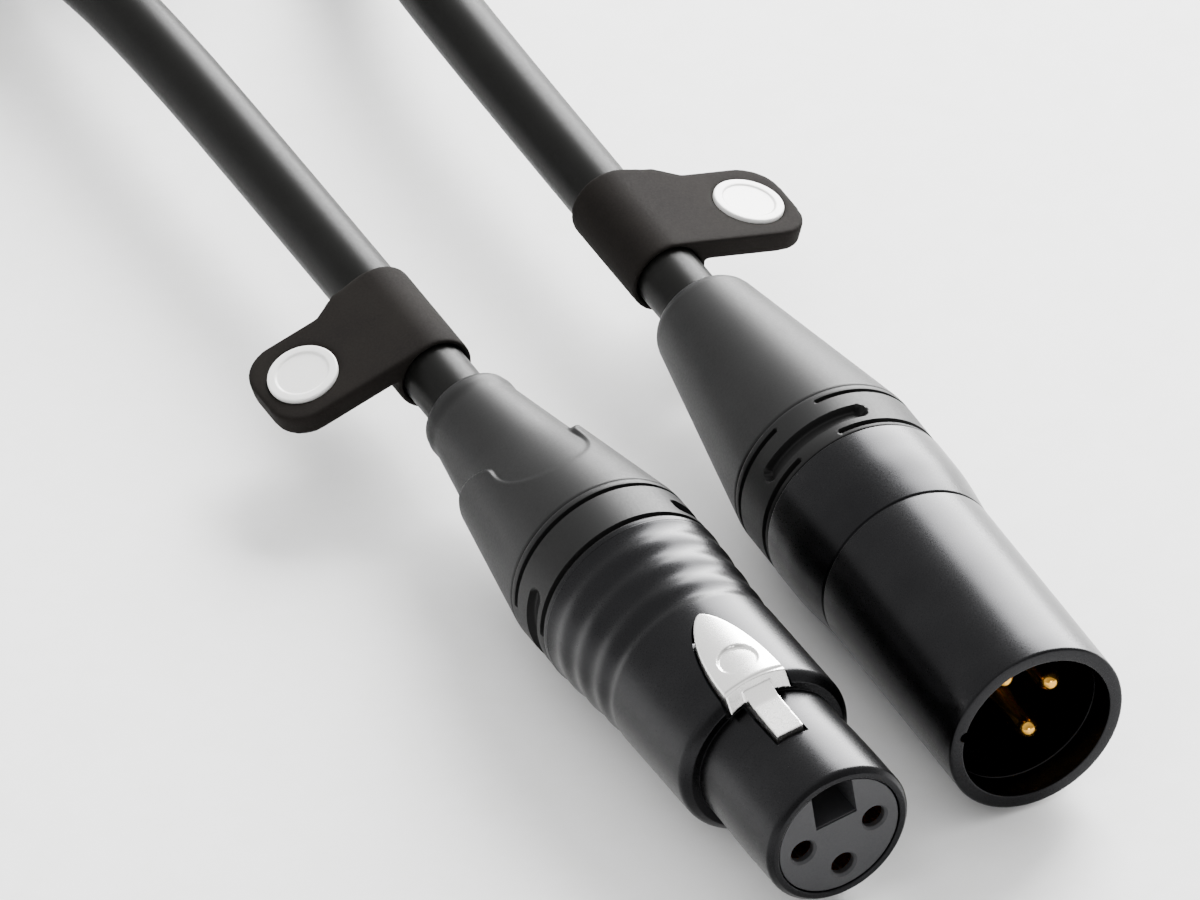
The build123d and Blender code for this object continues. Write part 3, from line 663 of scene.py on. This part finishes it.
def boot_corners(joint):
    """The boot's outline: a band, a crease and a cone outside; a bore and the nut's seat inside."""
    end = joint + BOOT_LENGTH
    return [(NUT_R, joint + BOOT_GAP, 0.1), (BOOT_R - 0.1, joint + BOOT_GAP, 0.2),
            (BOOT_R, joint + 1.0, 0.4, 0.12), (BOOT_R, joint + BAND_LENGTH - 0.15, 0.2),
            (BOOT_R - 0.16, joint + BAND_LENGTH, 0.08),
            (BOOT_R - 0.05, joint + BAND_LENGTH + 0.2, 0.2, 0.3),
            (BOOT_END_R + 0.1, end, 1.5), (BOOT_BORE_R, end, 0.25),
            (BOOT_BORE_R, joint + BOOT_CAVITY_END, 0.1), (NUT_HOLE_R, joint + NUT_END, 0.1),
            (NUT_R, joint + NUT_END, 0.1)]


def scoop(joint):
    """How deep the thumb scoops are: inside a U that opens towards the cable, above and below,
    the surface sinks, not at all at the U's front and by the whole depth towards its open end."""
    front = joint + SCOOP_FRONT

    def depth(angle, radius, station):
        x = np.abs(radius * np.cos(angle))
        bowl = SCOOP_R - np.hypot(x, station - front - SCOOP_R)
        arms = (station - front - 7.0) * 0.62 - (x - SCOOP_HALF) * 0.75
        arms = np.minimum(arms, station - front - 5.0)
        inside = np.logaddexp(bowl * 3, arms * 3) / 3 - 0.1
        ramp = smooth(front - 1.0, front + 10.5, station)
        tip = smooth(joint + BOOT_LENGTH + 1.0, joint + BOOT_LENGTH - 2.5, station)
        sunk = SCOOP_DEPTH * ramp * tip * smooth(-0.05, 0.3, inside)
        return sunk * (radius > NUT_HOLE_R - 0.3)

    return depth


def female_boot():
    """The boot with its band's slots and, on the cone, a thumb scoop above and below."""
    in_band, in_cone = slots(FEMALE_JOINT, FEMALE_SLOT_ANGLE), scoop(FEMALE_JOINT)
    return turned("female_boot_grip", boot_corners(FEMALE_JOINT), step=3, around=420,
                  sink=lambda *where: in_band(*where) + in_cone(*where))


def male_boot():
    """The boot with its band's slots and a plain cone."""
    return turned("male_boot_grip", boot_corners(MALE_JOINT), step=3, around=420,
                  sink=slots(MALE_JOINT, MALE_SLOT_ANGLE))


placed(female_boot(), FEMALE, "female_boot_body", boot_rubber, "boot", "female_boot", sharp=60)
placed(male_boot(), MALE, "male_boot_body", boot_rubber, "boot", "male_boot", sharp=60)


# ---- latch -----------------------------------------------------------------------------------


def thumb_pad():
    """The pad: at each station a section runs over the rounded top, down both sides and back
    underneath.  The top is part of a cylinder about the connector's axis, and a round dimple in
    it is deepest at its rear edge and runs out in front."""
    stations = np.concatenate([LATCH_FRONT - 0.02 + 0.3 * (1 - np.cos(np.linspace(0, 1.5, 6))),
                               np.linspace(LATCH_FRONT + 0.36, LATCH_REAR - 1.2, 90),
                               LATCH_REAR - 1.18 * (1 - np.sin(np.linspace(0.05, 1.57, 30)))])
    station = stations[:, None]
    across = np.sin(np.linspace(-math.pi / 2, math.pi / 2, 61))[None]
    half = np.maximum(leaf(station), 0.01)
    x = across * half
    drop = 0.28 * (1 - np.sqrt(np.clip(1 - smooth(0.28, 0.0, half - np.abs(x)) ** 2, 0, 1)))
    front = 0.3 * (1 - np.sqrt(1 - np.clip((LATCH_FRONT + 0.28 - station) / 0.3, 0, 1) ** 2))
    away = np.hypot(x, station - DIMPLE_PLACE) - DIMPLE_R
    dimple = DIMPLE_DEPTH * smooth(0.04, -0.1, away) * smooth(15.6, 19.2, station)
    top = np.sqrt((LATCH_TOP_R + 0.05) ** 2 - x**2) - drop - front - dimple
    under = np.full_like(x, LATCH_UNDER)
    upper = np.stack([x, np.broadcast_to(station, x.shape), top], -1)
    lower = np.stack([x, np.broadcast_to(station, x.shape), under], -1)[:, ::-1]
    loops = np.concatenate([upper, lower], 1)
    centre = loops.mean(1, keepdims=True)
    ends = [np.broadcast_to(centre[i], loops[i].shape)[None] for i in (0, -1)]
    return solid("pad", np.concatenate([ends[0], loops, ends[1]]), False, True)


def side_prism(name, profile, half):
    """A bar across the latch from points (station, z)."""
    turned_up = Matrix(((0, 0, 1, 0), (1, 0, 0, 0), (0, 1, 0, 0), (0, 0, 0, 1)))
    return moved(prism(name, profile, -half, half), turned_up)


def rod_across(name, radius, half, around):
    """A rod across the latch on the pivot's axis."""
    rod = turned(name, [(0, -half, 0), (radius, -half, 0), (radius, half, 0), (0, half, 0)],
                 around=around)
    across = Matrix.Rotation(TAU / 4, 4, "Z")
    return moved(rod, Matrix.Translation((0, PIVOT_STATION, PIVOT_Z)) @ across)


def latch():
    """The pad, the slanted brow under its front edge, the tooth that locks, and the pivot's boss,
    made one by small even faces that are then smoothed."""
    brow = side_prism("brow", [(14.62, 11.5), (15.6, 11.5), (15.6, 7.5), (13.4, 7.5), (14.5, 10.3)],
                      LATCH_HALF - 0.03)
    over = turned("over", [(10.1, 0, 0), (30, 0, 0), (30, 40, 0), (10.1, 40, 0)], around=360)
    arch = turned("arch", [(0, 10, 0), (LATCH_ARCH_R, 10, 0), (LATCH_ARCH_R, 20, 0), (0, 20, 0)],
                  around=180)
    cut(brow, over, arch)
    tooth = side_prism("tooth", [
        (TOOTH_FRONT, TOOTH_UNDER), (TOOTH_FRONT, 8.3), (12.3, 8.5), (12.5, 8.55), (14.2, 9.35),
        (16.1, 9.35), (16.1, TOOTH_UNDER)], TOOTH_HALF)
    boss = rod_across("boss", BOSS_R, BOSS_HALF, 48)
    rib = bar("rib", (-BOSS_HALF, BOSS_HALF), (PIVOT_STATION - BOSS_R, PIVOT_STATION + BOSS_R),
              (PIVOT_Z, 8.6))
    whole = joined("thumb_latch", thumb_pad(), brow, tooth, boss, rib)
    changed(whole, "REMESH", mode="VOXEL", voxel_size=0.075, adaptivity=0.0)
    changed(whole, "SMOOTH", factor=0.5, iterations=3)
    return cut(whole, rod_across("pin_hole", PIVOT_R + 0.05, 5, 32))


placed(latch(), FEMALE, "latch", satin_nickel, "latch", "latch_lever", sharp=50)


# ---- contacts and inserts --------------------------------------------------------------------


def male_pin(number, angle):
    """A turned pin: a domed tip, a plain shank, and a collar that ends in the solder cup."""
    pin = turned(f"male_contact_pin_{number}", [
        (0, PIN_TIP, 0), (0.55, PIN_TIP + 0.02, 0.35), (PIN_R, PIN_TIP + 0.75, 0.5),
        (PIN_R, MALE_INSERT_FACE, 0.05), (CONTACT_R, MALE_INSERT_FACE, 0.15),
        (CONTACT_R, PIN_END, 0.15), (CUP_R, PIN_END, 0.1), (CUP_R, PIN_END - CUP_DEPTH, 0.05),
        (0, PIN_END - CUP_DEPTH, 0)], step=0.5, around=64)
    return moved(pin, on_circle(angle, CONTACT_CIRCLE_R))


for number, angle in enumerate(CONTACT_ANGLES, 1):
    placed(male_pin(number, angle), MALE, "cable", gold_plate, "contact", f"male_pin_{number}")


def female_insert():
    """The socket block: three bored holes with broken edges and the key slot above them."""
    body = turned("female_insert_block", [
        (0, INSERT_FACE, 0), (INSERT_R, INSERT_FACE, 0.15), (INSERT_R, INSERT_NECK, 0.1),
        (INSERT_NECK_R, INSERT_NECK, 0.1), (INSERT_NECK_R, INSERT_END, 0.2), (0, INSERT_END, 0)],
        step=1.0, around=128)
    wide = KEY_HALF + 0.2
    tools = [bar("key_slot", (-KEY_HALF, KEY_HALF), (-1, KEY_DEPTH), (KEY_FROM, 8)),
             prism("key_edge", [(-wide, -1), (wide, -1), (KEY_HALF, 0.35), (-KEY_HALF, 0.35)],
                   KEY_FROM - 0.15, 8)]
    for angle in CONTACT_ANGLES:
        hole = turned("hole", [
            (0, -1, 0), (SOCKET_R + 0.25, -1, 0), (SOCKET_R + 0.25, INSERT_FACE, 0),
            (SOCKET_R, INSERT_FACE + 0.25, 0), (SOCKET_R, 1.0, 0), (CONTACT_R + 0.05, 1.0, 0),
            (CONTACT_R + 0.05, 28, 0), (0, 28, 0)], step=4, around=64)
        tools.append(moved(hole, on_circle(angle, CONTACT_CIRCLE_R)))
    return cut(body, *tools)


placed(female_insert(), FEMALE, "cable", moulded_nylon, "insert", "female_insert", sharp=30)


# ---- name tags and badges --------------------------------------------------------------------


def copied(name, node, matrix):
    """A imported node's mesh in its part's own millimetres, with its doubles merged."""
    mesh = frame["nodes"][node].data.copy()
    mesh.name = name
    mesh.transform((matrix @ Matrix.Scale(MM, 4)).inverted())
    merged(mesh, 1e-3)
    piece = bpy.data.objects.new(name, mesh)
    bpy.context.scene.collection.objects.link(piece)
    return piece


def name_tag(end, matrix):
    """The tag's solid with every edge softened, as in moulded rubber: evened out to small faces
    and smoothed."""
    piece = copied(f"{end}_tag_body", f"{end}_name_tag", matrix)
    changed(piece, "REMESH", mode="VOXEL", voxel_size=0.2, adaptivity=0.0)
    return changed(piece, "SMOOTH", factor=0.5, iterations=16)


def badge(end, side):
    """A blank round badge with a raised rim."""
    low = BADGE_TOP - BADGE_DISH
    disc = turned(f"{end}_badge", [
        (0, BADGE_LOW, 0), (BADGE_R, BADGE_LOW, 0.05), (BADGE_R, BADGE_TOP, 0.2),
        (BADGE_R - BADGE_RIM, BADGE_TOP, 0.15), (BADGE_R - BADGE_RIM - 0.15, low, 0.1),
        (0, low, 0)], step=0.3, around=96)
    upright = Matrix.Rotation(TAU / 4, 4, "X")
    middle = Matrix.Translation((side * BADGE_PLACE, TAG_BEHIND_BOOT + TAG_WIDTH / 2, 0))
    return moved(disc, middle @ upright)


for end, side, matrix in (("female", -1, FEMALE_TAG), ("male", 1, MALE_TAG)):
    body = f"{end}_tag_body"
    placed(name_tag(end, matrix), matrix, body, tag_rubber, "tag", f"{end}_name_tag", sharp=80)
    placed(badge(end, side), matrix, body, badge_plastic, "badge", f"{end}_tag_disc")


# ---- the coil's ties -------------------------------------------------------------------------


def tie(name, side):
    """A strap carried once and a bit round four layers of two cables: its line is a rounded
    oblong, and it rises by its own thickness where its end lies over its start."""
    inner, outer = COLUMN_R[0] - CABLE_R, COLUMN_R[1] + CABLE_R
    low, high = TIE_THICK, LAYER_Z[-1] + CABLE_R
    corners = [(inner, low), (inner, high), (outer, high), (outer, low)]
    around = outline([(*corner, CABLE_R) for corner in corners], 0.5)
    around = np.roll(around, -TIE_START, axis=0)
    again = np.vstack([around, around])[: len(around) + TIE_OVERLAP]
    ahead = np.gradient(again, axis=0)
    ahead[:1], ahead[-1:] = ahead[1:2], ahead[-2:-1]
    out = np.column_stack([-ahead[:, 1], ahead[:, 0]])
    out = out / np.linalg.norm(ahead, axis=1, keepdims=True)
    run = np.arange(len(again))
    lift = (TIE_THICK + 0.05) * smooth(len(around) - 6, len(around) + 1, run)
    ends = np.minimum(smooth(-1, 3, run), smooth(len(again), len(again) - 4, run))
    y_middle = COIL_FRONT_Y + COIL_STRAIGHT / 2
    turn = np.linspace(0, TAU, 40, endpoint=False)
    wide = TIE_WIDTH / 2 * np.sign(np.cos(turn)) * np.abs(np.cos(turn)) ** 0.15
    thick = TIE_THICK / 2 * (1 + np.sign(np.sin(turn)) * np.abs(np.sin(turn)) ** 0.3)
    height = lift[:, None] + TIE_THICK / 2 + (thick[None] - TIE_THICK / 2) * ends[:, None]
    x = side * (again[:, :1] + out[:, :1] * height)
    z = again[:, 1:] + out[:, 1:] * height
    y = y_middle + np.broadcast_to(wide[None], x.shape[:1] + wide.shape)
    return solid(name, np.stack([x, y, z], -1), False, True)


ties = [placed(tie(f"{name}_strap", side), Matrix.Identity(4), "cable", strap_nylon, "tie",
               f"coil_tie_{name}", sharp=60) for name, side in (("left", -1), ("right", 1))]
